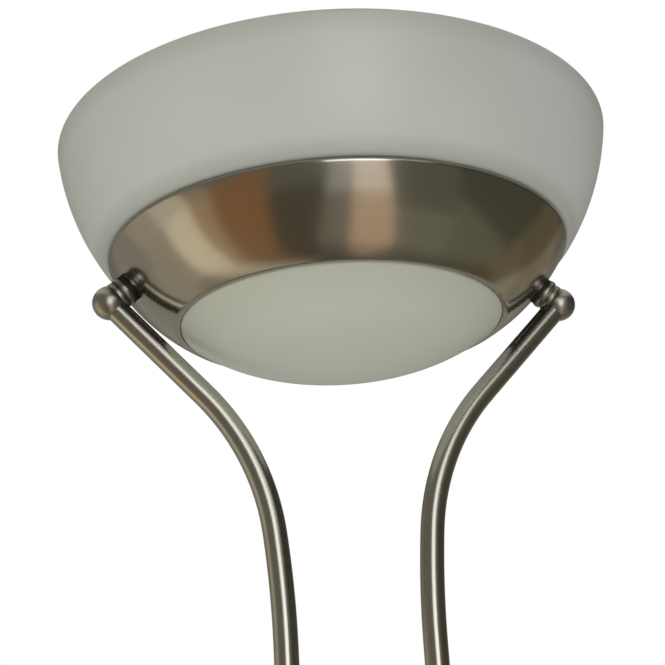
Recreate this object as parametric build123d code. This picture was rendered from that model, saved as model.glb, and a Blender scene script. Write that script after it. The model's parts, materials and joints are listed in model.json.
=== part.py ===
from build123d import *
from math import asin, atan2, cos, degrees, radians, sin, sqrt, tan
import os

# Torchiere floor lamp with a reading light: a shallow opal bowl and a spun pan with a domed lens
# underneath, carried between two bent tubes that run down side by side to a weighted round base.
# Millimetres. The floor is z = 0, +Z is up, the lamp's axis is Z, the tubes stand at +X and -X,
# and the two control knobs face -Y.

# ---------------------------------------------------------------- driving dimensions
rim_height = 1800.0            # floor to the rim of the glass bowl

bowl_rim_radius = 195.0        # outside of the rim
bowl_foot_radius = 164.2       # outside of the wall, produced down to the seat
bowl_depth = 79.0              # seat to rim
bowl_bulge = 5.0               # outward bow of the wall between foot and rim
bowl_glass = 4.0
bowl_foot_corner = 6.5
bowl_foot_opening = 151.0      # radius of the open bottom

pan_top_radius = 160.8         # wall produced up to the flange
pan_base_radius = 115.4        # wall produced down to the lip
pan_depth = 48.3               # seat to the underside of the lip
pan_bulge = 4.2
pan_sheet = 1.0
pan_bead_radius = 2.3          # outside of the rolled top edge
pan_lip_corner = 3.5
pan_flange_opening = 136.0

lens_radius = 111.3            # outside of the lens's neck
lens_glass = 3.0
lens_dome_depth = 30.0         # below the pan's lip
lens_crown_radius = 300.0
lens_shoulder_radius = 140.0
lens_flange_radius = 115.4
lens_neck_clearance = 0.6
lens_neck_rounding = 3.0
gasket_thickness = 1.0
clip_sheet = 0.8
clip_arc = 6.0                 # degrees of the pan's wall that one clip covers
clip_leg = 9.0                 # height of the leg on the wall
clip_knee = 3.0                # knee above the lens's flange
clip_count = 3

tray_sheet = 0.8
tray_floor_radius = 118.0
tray_mouth_radius = 127.0
tray_depth = 13.0
tray_upstand = 6.0
bowl_clearance = 0.8           # between the tray's upstand and the bowl's foot
tray_bend = 3.0
tray_screw_circle = 143.0
tray_screw_count = 3
tray_screw_start = 90.0        # degrees from +X

halogen_length = 117.6
halogen_tube_radius = 5.5
halogen_cap_radius = 3.8
halogen_cap_length = 11.3
halogen_height = 24.0          # lamp's axis above the tray's floor
halogen_button_radius = 1.6
halogen_button_length = 0.8
socket_length = 19.0
socket_width = 18.0
socket_grip = 7.0              # how far a cap goes into its socket
socket_bore_radius = 4.4
bracket_sheet = 1.5
bracket_width = 22.0
guard_wire = 2.0               # diameter
guard_half_length = 84.0
guard_half_width = 28.0
guard_height = 48.0
guard_corner = 14.0
guard_hoops = 7
guard_rails = 3
guard_peg_length = 5.0

capsule_radius = 7.0
capsule_length = 34.0
capsule_base_length = 9.0
capsule_base_width = 13.0
capsule_base_thickness = 5.0
reading_socket_radius = 9.5
reading_socket_length = 15.0
reading_drop = 17.0            # reading lamp's axis below the tray
reading_socket_face = 32.0     # x of the bracket leg that carries the socket
reading_bracket_reach = 19.0   # half length of the bracket's top flange
terminal_length = 26.0
terminal_width = 16.0
terminal_height = 12.0
terminal_offset = -38.5        # x of the terminal block's middle

tube_radius = 8.0
tube_wall = 1.0
pole_half_spacing = 48.5
arm_lean = 43.6                # degrees from vertical, at the ball
arm_bend_radius = 164.0
arm_runout_lean = 6.0          # part of the lean that the soft run-out below the bend takes
arm_runout_radius = 690.0
arm_between = 2.0              # straight between run-out and bend
arm_foot_rise = 85.0           # middle of the control box to the upper joint
middle_pole_length = 560.0     # from joint to joint

ball_radius = 11.7
ball_standoff = 16.3           # ball centre to the pan's wall
ball_place = 0.64              # share of the pan's wall, from the lip to the bead
ball_spigot_length = 12.0
collar_core_radius = 8.0
collar_bead_radii = (10.9, 10.4)  # next to the washer first
collar_bead_width = 4.6
collar_bead_bulge = 0.6
collar_groove = 0.4            # width of the groove between the beads
collar_waist_radius = 9.5      # at the bottom of that groove
collar_ball_clearance = 0.1    # between the last bead and the ball it reaches round
washer_radius = 10.2
washer_thickness = 1.4         # where it is thinnest
nipple_radius = 5.0
nipple_bore = 3.6
nipple_inset = 3.0             # from the ball's centre
saddle_radius = 9.0
saddle_thickness = 2.0
locknut_flats = 15.0
locknut_thickness = 3.0
thread_standout = 1.5          # threads beyond a nut

coupler_ring_radius = 8.7
coupler_ring_height = 4.0
coupler_spigot_length = 16.0
coupler_bore = 4.6

control_height = 1095.0        # middle of the control box
control_tall = 84.0
control_wide = 125.0
control_deep = 40.0
control_shell = 2.5
control_end_wall = 4.0
control_edge = 4.0
rib_thickness = 3.0
rib_height = 13.0              # above and below the middle
boss_radius = 3.6
boss_x = 33.0
boss_z = 34.0
boss_screw_reach = 12.0        # into the front shell
knob_x = 20.0
knob_radius = 15.0
knob_length = 16.0
knob_gap = 0.8
knob_taper = 1.0
knob_flutes = 24
knob_flute_radius = 1.0
knob_hollow_radius = 8.5
knob_hollow_depth = 5.0
knob_grip = 9.0                # shaft length inside the knob
shaft_radius = 3.0
shaft_inset = 8.0              # into the module
bushing_radius = 4.5
bushing_length = 4.2           # beyond the shell
module_size = 24.0
panel_nut_flats = 12.0
panel_nut_thickness = 2.0
board_half_width = 27.0
board_half_height = 27.0
board_thickness = 1.6
board_place = 1.0              # y of the board's front face

base_radius = 145.0
base_sheet = 1.0
base_edge_height = 17.0        # top of the vertical skirt
base_plateau_radius = 75.0
base_plateau_height = 32.0
base_edge_corner = 5.0
base_plateau_corner = 30.0
base_skirt_gap = 1.0           # skirt's edge above the floor
weight_clearance = 2.0         # between the weight's rim and the skirt
pad_thickness = 2.0
pad_radius = 141.0
pole_socket_radius = 15.0
pole_socket_neck = 10.6
pole_socket_height = 24.0
pole_socket_floor = 5.0
recess_radius = 14.0
recess_height = 22.0           # recess ceiling above the floor
base_washer_radius = 12.0
base_washer_thickness = 1.5
base_nut_thickness = 4.0
channel_width = 9.0
channel_height = 14.0          # channel ceiling above the floor
cord_height = 9.0              # centre of the cord inlet
cord_radius = 3.0
inlet_bore = 3.2
inlet_neck_radius = 4.8
inlet_flange_radius = 6.4
inlet_flange_thickness = 2.0

lead_radius = 2.25
wire_radius = 1.1              # single wires from the terminal block to the sockets
wire_entry = 5.0               # from a socket's back to its wire
wire_drop = 3.0                # below the halogen lamp's axis
bush_neck_radius = 2.6
bush_flange_radius = 3.8
bush_flange_thickness = 1.0
slip = 0.1                     # radial clearance of a tube or spigot
thread_clearance = 0.05        # radial
shaft_clearance = 0.05         # radial, running
panel_clearance = 0.1

m4_radius = 2.0
m4_head_radius = 3.8
m4_head_height = 2.6
m4_nut_flats = 7.0
m4_nut_thickness = 3.2
m4_length = 8.0
m3_radius = 1.5
m3_head_radius = 2.9
m3_head_height = 2.0
rivet_radius = 1.6
rivet_head_radius = 3.0
rivet_head_height = 0.9

# ---------------------------------------------------------------- places worked out from them
seat_height = rim_height - bowl_depth
pan_bottom = seat_height - pan_depth
lip_top = pan_bottom + pan_sheet
tray_floor_top = seat_height + tray_sheet - tray_depth
tray_floor_under = tray_floor_top - tray_sheet
tray_outer_radius = bowl_foot_opening - bowl_clearance
halogen_z = tray_floor_top + halogen_height
reading_z = tray_floor_under - reading_drop
tube_bore = tube_radius - tube_wall
ball_flat = sqrt(ball_radius**2 - (tube_radius + 0.3) ** 2)
collar_flat = sqrt(ball_radius**2 - collar_core_radius**2)
shell_front = -control_deep / 2
upper_joint_height = control_height + arm_foot_rise
lower_joint_height = upper_joint_height - middle_pole_length
base_weight_top = base_plateau_height - base_sheet


# ---------------------------------------------------------------- helpers
STANDING = (Align.CENTER, Align.CENTER, Align.MIN)


def eased(path, *corners):
    """The path with each corner, given as (point, radius), rounded."""
    for point, radius in corners:
        corner = path.vertices().sort_by_distance(point)[0]
        path = fillet(corner, radius)
    return path


def chain(*pieces):
    """One wire from pieces that meet end to end."""
    return Wire([edge for piece in pieces for edge in piece.edges()])


def spun(section):
    """A section drawn in (radius, height), turned about the lamp's axis."""
    return revolve(Plane.XZ * section, Axis.Z)


def both_sides(shape):
    """The +X piece and its twin, half a turn round the lamp's axis."""
    return Compound([shape, Rot(0, 0, 180) * shape])


def ring(count, start, shape):
    """Copies of a +X piece spread evenly round the lamp's axis."""
    return Compound([Rot(0, 0, start + 360 / count * i) * shape for i in range(count)])


def tube_along(path, radius, bore=0.0):
    """A round tube, or a round bar without a bore, whose middle follows the path."""
    section = Circle(radius)
    if bore:
        section -= Circle(bore)
    return sweep(Plane(origin=path @ 0, z_dir=path % 0) * section, path=path)


def rod(plane, radius, start, end):
    """A cylinder on the plane's normal, between two distances along it."""
    return plane * Pos(0, 0, start) * Cylinder(radius, end - start, align=STANDING)


def hex_nut(plane, flats, start, end, bore):
    """A hexagonal nut on the plane's normal."""
    corner_radius = flats / 2 / cos(radians(30))
    outline = RegularPolygon(corner_radius, 6) - Circle(bore)
    return plane * Pos(0, 0, start) * extrude(outline, end - start)


def single(shape):
    """The one solid of a result."""
    return shape.solids().sort_by(SortBy.VOLUME)[-1]


# ---------------------------------------------------------------- pan
def pan_path():
    """Middle of the pan's sheet: lip, bowed wall, rolled edge and seat flange."""
    half = pan_sheet / 2
    base = (pan_base_radius, pan_bottom + half)
    top = (pan_top_radius, seat_height - half)
    lip_radius = lens_radius + lens_neck_clearance
    path = chain(
        Line((lip_radius, base[1]), base),
        SagittaArc(base, top, -pan_bulge),
        Line(top, (pan_flange_opening, top[1])),
    )
    return eased(path, (base, pan_lip_corner - half), (top, pan_bead_radius - half))


def pan_region():
    """Everything between the lamp's axis and the middle of the pan's sheet."""
    path = pan_path()
    low, high = path @ 0, path @ 1
    closing = Polyline((high.X, high.Y), (0, high.Y), (0, low.Y), (low.X, low.Y))
    return make_face(path.edges() + closing.edges())


def pan_wall_arc():
    """The bowed wall in the pan's path, from the lip up."""
    return pan_path().edges().sort_by(SortBy.LENGTH)[-1]


def ball_joint_plane():
    """Plane on the pan's outside at +X: its normal points outward and down, to the ball."""
    wall = pan_wall_arc()
    if (wall @ 0).Y > (wall @ 1).Y:
        place = 1 - ball_place
    else:
        place = ball_place
    middle = wall @ place
    along = wall % place
    normal = Vector(along.Y, -along.X)
    if normal.X < 0:
        normal = -normal
    face = middle + normal * (pan_sheet / 2)
    return Plane(origin=(face.X, 0, face.Y), x_dir=(0, 1, 0), z_dir=(normal.X, 0, normal.Y))


joint = ball_joint_plane()
ball_centre = joint.origin + joint.z_dir * ball_standoff
lean = radians(arm_lean)
down_arm = Vector(-sin(lean), 0, -cos(lean))
arm_plane = Plane(origin=ball_centre, x_dir=(0, 1, 0), z_dir=down_arm)
inward_plane = Plane(origin=ball_centre, x_dir=(0, 1, 0), z_dir=-joint.z_dir)
pan_outside = spun(pan_region() + trace(pan_path(), pan_sheet))
pan_inside = spun(pan_region() - trace(pan_path(), pan_sheet))


def head_pan():
    pan = spun(trace(pan_path(), pan_sheet))
    hole = rod(joint, nipple_radius + slip, -3 * pan_sheet, 3 * pan_sheet)
    for turn in (0, 180):
        pan -= Rot(0, 0, turn) * hole
    screw_hole = Pos(tray_screw_circle, 0, seat_height) * Cylinder(m4_radius + slip, 4 * pan_sheet)
    for i in range(tray_screw_count):
        pan -= Rot(0, 0, tray_screw_start + 360 / tray_screw_count * i) * screw_hole
    return pan


# ---------------------------------------------------------------- glass bowl
def glass_bowl():
    """Pressed glass ring: a foot turned inward to sit on the pan, a bowed wall, a fire-polished rim."""
    half = bowl_glass / 2
    foot = (bowl_foot_radius - half, seat_height + half)
    rim = (bowl_rim_radius - half, rim_height - half)
    path = chain(Line((bowl_foot_opening, foot[1]), foot), SagittaArc(foot, rim, -bowl_bulge))
    path = eased(path, (foot, bowl_foot_corner - half))
    section = trace(path, bowl_glass) + Pos(*rim) * Circle(half)
    return spun(fillet(section.vertices().sort_by(Axis.X)[:2], 0.3 * bowl_glass))


# ---------------------------------------------------------------- reading lens and what holds it
def lens_arcs(edge, apex_height, crown, shoulder):
    """Two tangent arcs from the lens's edge to its apex on the axis."""
    crown_centre = Vector(0, apex_height + crown)
    to_edge = Vector(*edge) - crown_centre
    reach = to_edge.length
    centres = crown - shoulder
    along = (centres**2 - shoulder**2 + reach**2) / (2 * reach)
    aside = sqrt(centres**2 - along**2)
    unit = to_edge / reach
    square = Vector(-unit.Y, unit.X)
    choices = [crown_centre + unit * along + square * aside * sign for sign in (1, -1)]
    shoulder_centre = min(choices, key=lambda point: point.X)
    meeting = crown_centre + (shoulder_centre - crown_centre).normalized() * crown
    edge_point = Vector(*edge)
    middle = (edge_point + meeting) / 2
    bulge = shoulder - (middle - shoulder_centre).length
    crown_half = asin(meeting.X / crown) / 2
    crown_point = crown_centre + Vector(sin(crown_half), -cos(crown_half)) * crown
    outward = (middle - shoulder_centre).normalized()
    return (
        ThreePointArc(edge_point, middle + outward * bulge, meeting),
        ThreePointArc(meeting, crown_point, (0, apex_height)),
    )


def reading_lens():
    """Domed glass that hangs through the pan's opening by its flange."""
    half = lens_glass / 2
    flange_z = lip_top + gasket_thickness + half
    neck = lens_radius - half
    apex = pan_bottom - lens_dome_depth + half
    edge = (neck, pan_bottom)
    shoulder_arc, crown_arc = lens_arcs(edge, apex, lens_crown_radius - half, lens_shoulder_radius - half)
    corner = (neck, flange_z)
    path = chain(
        Line((lens_flange_radius, flange_z), corner),
        Line(corner, edge),
        shoulder_arc,
        crown_arc,
    )
    path = eased(path, (edge, lens_neck_rounding))
    return spun(trace(path, lens_glass))


def lens_gasket():
    """Flat ring between the lip and the lens's flange."""
    inner = lens_radius + lens_neck_clearance
    section = Pos((inner + lens_flange_radius) / 2, lip_top + gasket_thickness / 2) * Rectangle(
        lens_flange_radius - inner, gasket_thickness
    )
    return spun(section) & pan_inside


def inside_pan(height, inset):
    """Point in the section, an inset in from the middle of the pan's wall, at a height."""
    wall = pan_wall_arc()
    centre = wall.arc_center
    rise = height - centre.Y
    return centre.X + sqrt((wall.radius - inset) ** 2 - rise**2), height


def lens_clips():
    """Spring clips welded to the pan's wall, each with a finger that presses the lens's flange."""
    half = clip_sheet / 2
    flange_top = lip_top + gasket_thickness + lens_glass
    inset = pan_sheet / 2 + half
    leg_top = inside_pan(flange_top + clip_leg + clip_knee, inset)
    knee = inside_pan(flange_top + clip_knee, inset)
    toe = (lens_radius, flange_top + half)
    section = trace(eased(Polyline(leg_top, knee, toe), (knee, 2 * clip_sheet)), clip_sheet)
    clip = revolve(Plane.XZ * section, Axis.Z, clip_arc) & pan_inside
    return ring(clip_count, tray_screw_start - clip_arc / 2, single(clip))


# ---------------------------------------------------------------- reflector tray and its screws
def reflector_tray():
    """Shallow white dish on the pan's flange; its upstand centres the bowl."""
    half = tray_sheet / 2
    edge_radius = tray_outer_radius - half
    floor = (tray_floor_radius, tray_floor_top - half)
    mouth = (tray_mouth_radius, seat_height + half)
    edge = (edge_radius, seat_height + half)
    path = Polyline((0, floor[1]), floor, mouth, edge, (edge_radius, seat_height + tray_upstand))
    path = eased(path, (floor, tray_bend), (mouth, tray_bend), (edge, tray_bend / 2))
    tray = spun(trace(path, tray_sheet))
    for i in range(tray_screw_count):
        hole = Pos(tray_screw_circle, 0, seat_height) * Cylinder(m4_radius + slip, 6 * tray_sheet)
        tray -= Rot(0, 0, tray_screw_start + 360 / tray_screw_count * i) * hole
    for spot in rivet_spots():
        tray -= Pos(*spot, tray_floor_top) * Cylinder(rivet_radius + slip, 4 * tray_sheet)
    for spot in peg_spots():
        tray -= Pos(*spot, tray_floor_top) * Cylinder(guard_wire / 2 + slip, 4 * tray_sheet)
    far, aside = wire_spot()
    for x in (far, -far):
        tray -= Pos(x, aside, tray_floor_top) * Cylinder(bush_neck_radius + slip, 4 * tray_sheet)
    return tray


def tray_screws():
    """Pan-head screws through the tray and the pan's flange."""
    plane = Plane(origin=(tray_screw_circle, 0, seat_height + tray_sheet))
    head = rod(plane, m4_head_radius, 0, m4_head_height)
    head = fillet(head.edges().group_by(Axis.Z)[-1], 0.4 * m4_head_height)
    slot = Box(2 * m4_head_radius, 0.3 * m4_radius, 0.6 * m4_head_height)
    head -= plane * Pos(0, 0, m4_head_height) * slot
    screw = head + rod(plane, m4_radius, -m4_length, 0)
    return ring(tray_screw_count, tray_screw_start, screw)


def tray_nuts():
    """Hexagonal nuts under the pan's flange."""
    plane = Plane(origin=(tray_screw_circle, 0, seat_height - pan_sheet))
    nut = hex_nut(plane, m4_nut_flats, -m4_nut_thickness, 0, m4_radius + thread_clearance)
    return ring(tray_screw_count, tray_screw_start, nut)


# ---------------------------------------------------------------- halogen lamp, its sockets and guard
def socket_back():
    """x of the outer face of a ceramic socket."""
    return halogen_length / 2 - socket_grip + socket_length


def rivet_spots():
    """Two on the X axis for the lamp bracket, two beside it for the reading lamp's bracket."""
    far = 0.78 * socket_back()
    near = reading_socket_face - bracket_sheet - reading_flange_width() / 2
    beside = reading_bracket_reach - rivet_head_radius - 0.5
    return [(-far, 0), (far, 0), (near, beside), (near, -beside)]


def reading_flange_width():
    """Width of the reading bracket's top flange."""
    return 3.2 * rivet_head_radius


def uplight_bracket():
    """Folded strip with a socket on the inside of each upright."""
    half = bracket_sheet / 2
    end = socket_back() + half
    low = tray_floor_top + half
    high = halogen_z + socket_width / 2
    path = Polyline((-end, high), (-end, low), (end, low), (end, high))
    path = eased(path, ((-end, low), 2 * bracket_sheet), ((end, low), 2 * bracket_sheet))
    section = trace(path, bracket_sheet)
    bracket = extrude(Plane.XZ * section, bracket_width / 2, both=True)
    for spot in rivet_spots()[:2]:
        bracket -= Pos(*spot, low) * Cylinder(rivet_radius + slip, 3 * bracket_sheet)
    for side in (1, -1):
        hole = Pos(side * end, 0, halogen_z) * Rot(0, 90, 0) * Cylinder(m3_radius + slip, 3 * bracket_sheet)
        bracket -= hole
    return bracket


def uplight_sockets():
    """Ceramic blocks that grip the lamp's ends."""
    middle = socket_back() - socket_length / 2
    block = Pos(middle, 0, halogen_z) * Box(socket_length, socket_width, socket_width)
    block = fillet(block.edges().filter_by(Axis.X), 0.2 * socket_width)
    plane = Plane(origin=(socket_back(), 0, halogen_z), x_dir=(0, 1, 0), z_dir=(1, 0, 0))
    bore_floor = socket_grip - socket_length + contact_length()
    block -= rod(plane, socket_bore_radius, -socket_length - 1, bore_floor)
    block -= rod(plane, m3_radius + thread_clearance, -socket_screw_reach() - 1, 1)
    return both_sides(block)


def contact_length():
    """Spring contact between a socket's floor and the lamp's button."""
    return 0.2 * socket_length


def socket_screw_reach():
    """Length of thread inside a socket."""
    return 0.3 * socket_length


def uplight_contacts():
    """Spring buttons at the bottom of the sockets' bores."""
    tip = halogen_length / 2 - halogen_button_length
    plane = Plane(origin=(tip, 0, halogen_z), x_dir=(0, 1, 0), z_dir=(1, 0, 0))
    end = socket_back() - socket_length + socket_grip + contact_length() - tip
    stem = rod(plane, 0.5 * halogen_cap_radius, halogen_button_length, end)
    plate = rod(plane, 0.9 * halogen_cap_radius, 0.6 * end + 0.4 * halogen_button_length, end)
    return both_sides(stem + plate)


def socket_screws():
    """Screws through the bracket's uprights into the sockets."""
    plane = Plane(origin=(socket_back() + bracket_sheet, 0, halogen_z), x_dir=(0, 1, 0), z_dir=(1, 0, 0))
    head = rod(plane, m3_head_radius, 0, m3_head_height)
    screw = head + rod(plane, m3_radius, -bracket_sheet - socket_screw_reach(), 0)
    return both_sides(screw)


def halogen_tube():
    """Quartz tube between the lamp's ceramic ends, pinched flat at both ends."""
    span = halogen_length - 2 * (halogen_cap_length + halogen_button_length)
    straight = span - 2 * halogen_tube_radius
    tube = Pos(0, 0, halogen_z) * Rot(0, 90, 0) * Cylinder(halogen_tube_radius, straight)
    tube = fillet(tube.edges().filter_by(GeomType.CIRCLE), 0.6 * halogen_tube_radius)
    pinch = Pos(0, 0, halogen_z) * Box(span, 1.2 * halogen_tube_radius, 0.6 * halogen_tube_radius)
    return tube + pinch


def halogen_caps():
    """Ceramic ends of the lamp, each with a recessed contact button."""
    tip = halogen_length / 2 - halogen_button_length
    plane = Plane(origin=(tip, 0, halogen_z), x_dir=(0, 1, 0), z_dir=(1, 0, 0))
    cap = rod(plane, halogen_cap_radius, -halogen_cap_length, 0)
    button = rod(plane, halogen_button_radius, 0, halogen_button_length)
    return both_sides(cap + button)


def peg_spots():
    """Where the guard's pegs go through the tray."""
    x = hoop_x(1)
    return [(sx * x, sy * guard_half_width) for sx in (1, -1) for sy in (1, -1)]


def hoop_x(index):
    """x of a hoop, counted from the -X end; the second one and its opposite carry the pegs."""
    return -guard_half_length + 2 * guard_half_length * index / (guard_hoops - 1)


def wire_guard():
    """Wire cage over the lamp: hoops and rails welded to a foot frame, with pegs into the tray."""
    wire = guard_wire / 2
    low = tray_floor_top + wire
    high = low + guard_height - guard_wire
    hoop_points = [
        (0, -guard_half_width, low),
        (0, -guard_half_width, high),
        (0, guard_half_width, high),
        (0, guard_half_width, low),
    ]
    hoop = tube_along(FilletPolyline(*hoop_points, radius=guard_corner), wire)
    guard = Part()
    for i in range(guard_hoops):
        guard += Pos(hoop_x(i), 0, 0) * hoop
    rail = Rot(0, 90, 0) * Cylinder(wire, 2 * guard_half_length + guard_wire)
    flat = guard_half_width - guard_corner
    for i in range(guard_rails):
        y = -flat + 2 * flat * i / (guard_rails - 1)
        guard += Pos(0, y, high) * rail
    for side in (1, -1):
        guard += Pos(0, side * guard_half_width, low) * rail
    for spot in peg_spots():
        guard += Pos(*spot, low - guard_peg_length / 2) * Cylinder(wire, guard_peg_length)
    return guard


# ---------------------------------------------------------------- reading lamp and wiring under the tray
def reading_bracket():
    """Bent strip riveted under the tray; its leg carries the reading lamp's socket."""
    flange_z = tray_floor_under - bracket_sheet / 2
    width = reading_flange_width()
    flange = Pos(reading_socket_face - width / 2, 0, flange_z) * Box(
        width, 2 * reading_bracket_reach, bracket_sheet
    )
    leg_low = reading_z - reading_socket_radius
    leg_height = tray_floor_under - leg_low
    leg = Pos(reading_socket_face - bracket_sheet / 2, 0, leg_low + leg_height / 2) * Box(
        bracket_sheet, 2 * reading_socket_radius, leg_height
    )
    bracket = flange + leg
    lead_way = Rot(0, 90, 0) * Cylinder(lead_radius + slip, 4 * bracket_sheet)
    bracket -= Pos(reading_socket_face, 0, reading_z) * lead_way
    for spot in rivet_spots()[2:]:
        bracket -= Pos(*spot, flange_z) * Cylinder(rivet_radius + slip, 2 * bracket_sheet)
    return bracket


def bracket_rivets():
    """Rivets through the tray and the two brackets."""
    rivets = []
    for index, (x, y) in enumerate(rivet_spots()):
        above = tray_floor_top + (bracket_sheet if index < 2 else 0)
        below = tray_floor_under - (0 if index < 2 else bracket_sheet)
        plane = Plane(origin=(x, y, 0))
        head = rod(plane, rivet_head_radius, above, above + rivet_head_height)
        tail = rod(plane, rivet_head_radius, below - rivet_head_height, below)
        rivets.append(head + rod(plane, rivet_radius, below, above) + tail)
    return Compound(rivets)


def socket_plane():
    """At the reading lamp's bracket leg, pointing to -X along the lamp."""
    x = reading_socket_face - bracket_sheet
    return Plane(origin=(x, 0, reading_z), x_dir=(0, 1, 0), z_dir=(-1, 0, 0))


def reading_socket():
    """Ceramic socket with a slot for the capsule's base."""
    body = rod(socket_plane(), reading_socket_radius, 0, reading_socket_length)
    body = chamfer(body.edges().group_by(Axis.X)[0], 0.1 * reading_socket_radius)
    depth = 0.4 * reading_socket_length
    slot = socket_plane() * Pos(0, 0, reading_socket_length) * Box(
        capsule_base_width + 2 * slip, capsule_base_thickness + 2 * slip, 2 * depth
    )
    return body - slot


def reading_lamp():
    """Frosted capsule lamp with a flat pinched base."""
    start = 0.6 * reading_socket_length
    plane = socket_plane()
    base = plane * Pos(0, 0, start + capsule_base_length / 2) * Box(
        capsule_base_width, capsule_base_thickness, capsule_base_length
    )
    shoulder = start + capsule_base_length
    bulb = rod(plane, capsule_radius, shoulder, shoulder + capsule_length)
    bulb = fillet(bulb.edges().group_by(Axis.X)[0], 0.8 * capsule_radius)
    return base + bulb


def terminal_block():
    """Block under the tray where the uplight's wires are joined."""
    z = tray_floor_under - terminal_height / 2
    block = Pos(terminal_offset, 0, z) * Box(terminal_length, terminal_width, terminal_height)
    block = fillet(block.edges().filter_by(Axis.Z), 0.15 * terminal_width)
    for i in (-1, 0, 1):
        hole = Pos(terminal_offset + i * terminal_length / 3.6, 0, z - terminal_height / 2)
        block -= hole * Cylinder(0.13 * terminal_width, 0.5 * terminal_height)
    return block


# ---------------------------------------------------------------- ball joints between arms and pan
def collar_face():
    """Distance from the ball's centre to the collar's face against the washer."""
    return ball_standoff - washer_thickness


def arm_balls():
    """Ball with a flat and a spigot for the tube, and a flat and a threaded hole for the nipple."""
    ball = Pos(*ball_centre) * Sphere(ball_radius)
    ball -= rod(arm_plane, ball_radius, ball_flat, 2 * ball_radius)
    ball -= rod(inward_plane, ball_radius, collar_flat, 2 * ball_radius)
    ball += rod(arm_plane, tube_bore - slip, 0.5 * ball_flat, ball_flat + ball_spigot_length)
    ball -= rod(arm_plane, nipple_bore, -nipple_bore, 2 * ball_radius + ball_spigot_length)
    ball -= rod(inward_plane, nipple_bore, -nipple_bore, 2 * ball_radius)
    ball -= rod(inward_plane, nipple_radius + thread_clearance, nipple_inset, 2 * ball_radius)
    return both_sides(single(ball))


def turned_bead(radius, start, end):
    """A bead round the collar's axis that bulges between its two ends."""
    shoulder = radius - collar_bead_bulge
    low, high = (shoulder, start), (shoulder, end)
    outline = chain(
        Line((0, start), low),
        SagittaArc(low, high, -collar_bead_bulge),
        Line(high, (0, end)),
        Line((0, end), (0, start)),
    )
    return inward_plane * spun(make_face(outline))


def arm_collars():
    """Turned collar between ball and washer: its last bead reaches round the ball and over the arm."""
    end = collar_face()
    pitch = collar_bead_width + collar_groove
    far_end = end - len(collar_bead_radii) * pitch + collar_groove
    collar = rod(inward_plane, collar_waist_radius, far_end, end)
    for index, radius in enumerate(collar_bead_radii):
        far = end - index * pitch
        collar += turned_bead(radius, far - collar_bead_width, far)
    collar -= Pos(*ball_centre) * Sphere(ball_radius + collar_ball_clearance)
    collar += rod(inward_plane, collar_core_radius, collar_flat, end)
    collar -= rod(arm_plane, tube_radius + slip, 0, 3 * ball_radius)
    collar -= rod(inward_plane, nipple_radius + slip, 0, end + 1)
    return both_sides(single(collar))


def pan_washers():
    """Black washer whose far face follows the pan's wall."""
    washer = rod(inward_plane, washer_radius, collar_face(), ball_standoff + washer_thickness)
    washer -= rod(inward_plane, nipple_radius + slip, 0, 2 * ball_standoff)
    return both_sides(single(washer - pan_outside))


def saddle_face():
    """Distance from the ball's centre to the flat side of the saddle inside the pan."""
    return ball_standoff + pan_sheet + saddle_thickness


def inner_saddles():
    """Washer inside the pan: one side follows the wall, the other is flat for the nut."""
    saddle = rod(inward_plane, saddle_radius, ball_standoff, saddle_face())
    saddle -= rod(inward_plane, nipple_radius + slip, 0, 2 * ball_standoff)
    return both_sides(single(saddle & pan_inside))


def arm_locknuts():
    """Nut on the nipple inside the pan."""
    end = saddle_face() + locknut_thickness
    hole = nipple_radius + thread_clearance
    return both_sides(hex_nut(inward_plane, locknut_flats, saddle_face(), end, hole))


def nipple_end():
    """Distance from the ball's centre to the nipple's inner end."""
    return saddle_face() + locknut_thickness + thread_standout


def arm_nipples():
    """Threaded tube through ball, collar, washer, pan, saddle and nut; the lead runs through it."""
    nipple = rod(inward_plane, nipple_radius, nipple_inset, nipple_end())
    return both_sides(nipple - rod(inward_plane, nipple_bore, 0, 2 * nipple_end()))


# ---------------------------------------------------------------- arms and poles
def arm_corners():
    """Corners of the arm's middle line, unrounded: the soft run-out above the pole, then the bend."""
    softly = radians(arm_runout_lean)
    tangents = arm_runout_radius * tan(softly / 2) + arm_bend_radius * tan((lean - softly) / 2)
    between = (tangents + arm_between) * Vector(sin(softly), 0, cos(softly))
    bend_x = pole_half_spacing + between.X
    run = (ball_centre.X - bend_x) / tan(lean)
    bend = Vector(bend_x, 0, ball_centre.Z - run)
    return bend - between, bend


def arm_radii():
    """Bend radii at those corners."""
    return [arm_runout_radius, arm_bend_radius]


def arm_tube():
    """Bent tube from the upper joint to the ball."""
    bottom = Vector(pole_half_spacing, 0, upper_joint_height + coupler_ring_height / 2)
    top = ball_centre + down_arm * ball_flat
    path = FilletPolyline(bottom, *arm_corners(), top, radius=arm_radii())
    return tube_along(path, tube_radius, tube_bore)


def pole_tube(low, high):
    """Straight tube of the +X pole."""
    plane = Plane(origin=(pole_half_spacing, 0, 0))
    return rod(plane, tube_radius, low, high) - rod(plane, tube_bore, low, high)


def lead_hole(height, radius):
    """Hole in the inner side of a pole's tube, inside the control box."""
    depth = 2 * tube_radius
    return Pos(pole_half_spacing - tube_radius, 0, height) * Rot(0, 90, 0) * Cylinder(radius, depth)


def middle_pole():
    low = lower_joint_height + coupler_ring_height / 2
    high = upper_joint_height - coupler_ring_height / 2
    pole = pole_tube(low, high)
    pole -= lead_hole(control_height + lead_rise() + lead_radius / 2, 2 * lead_radius)
    pole -= lead_hole(control_height - lead_rise() - cord_radius / 2, 1.7 * cord_radius)
    return pole


def lower_pole():
    low = base_plateau_height + pole_socket_floor
    high = lower_joint_height - coupler_ring_height / 2
    return pole_tube(low, high)


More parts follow.
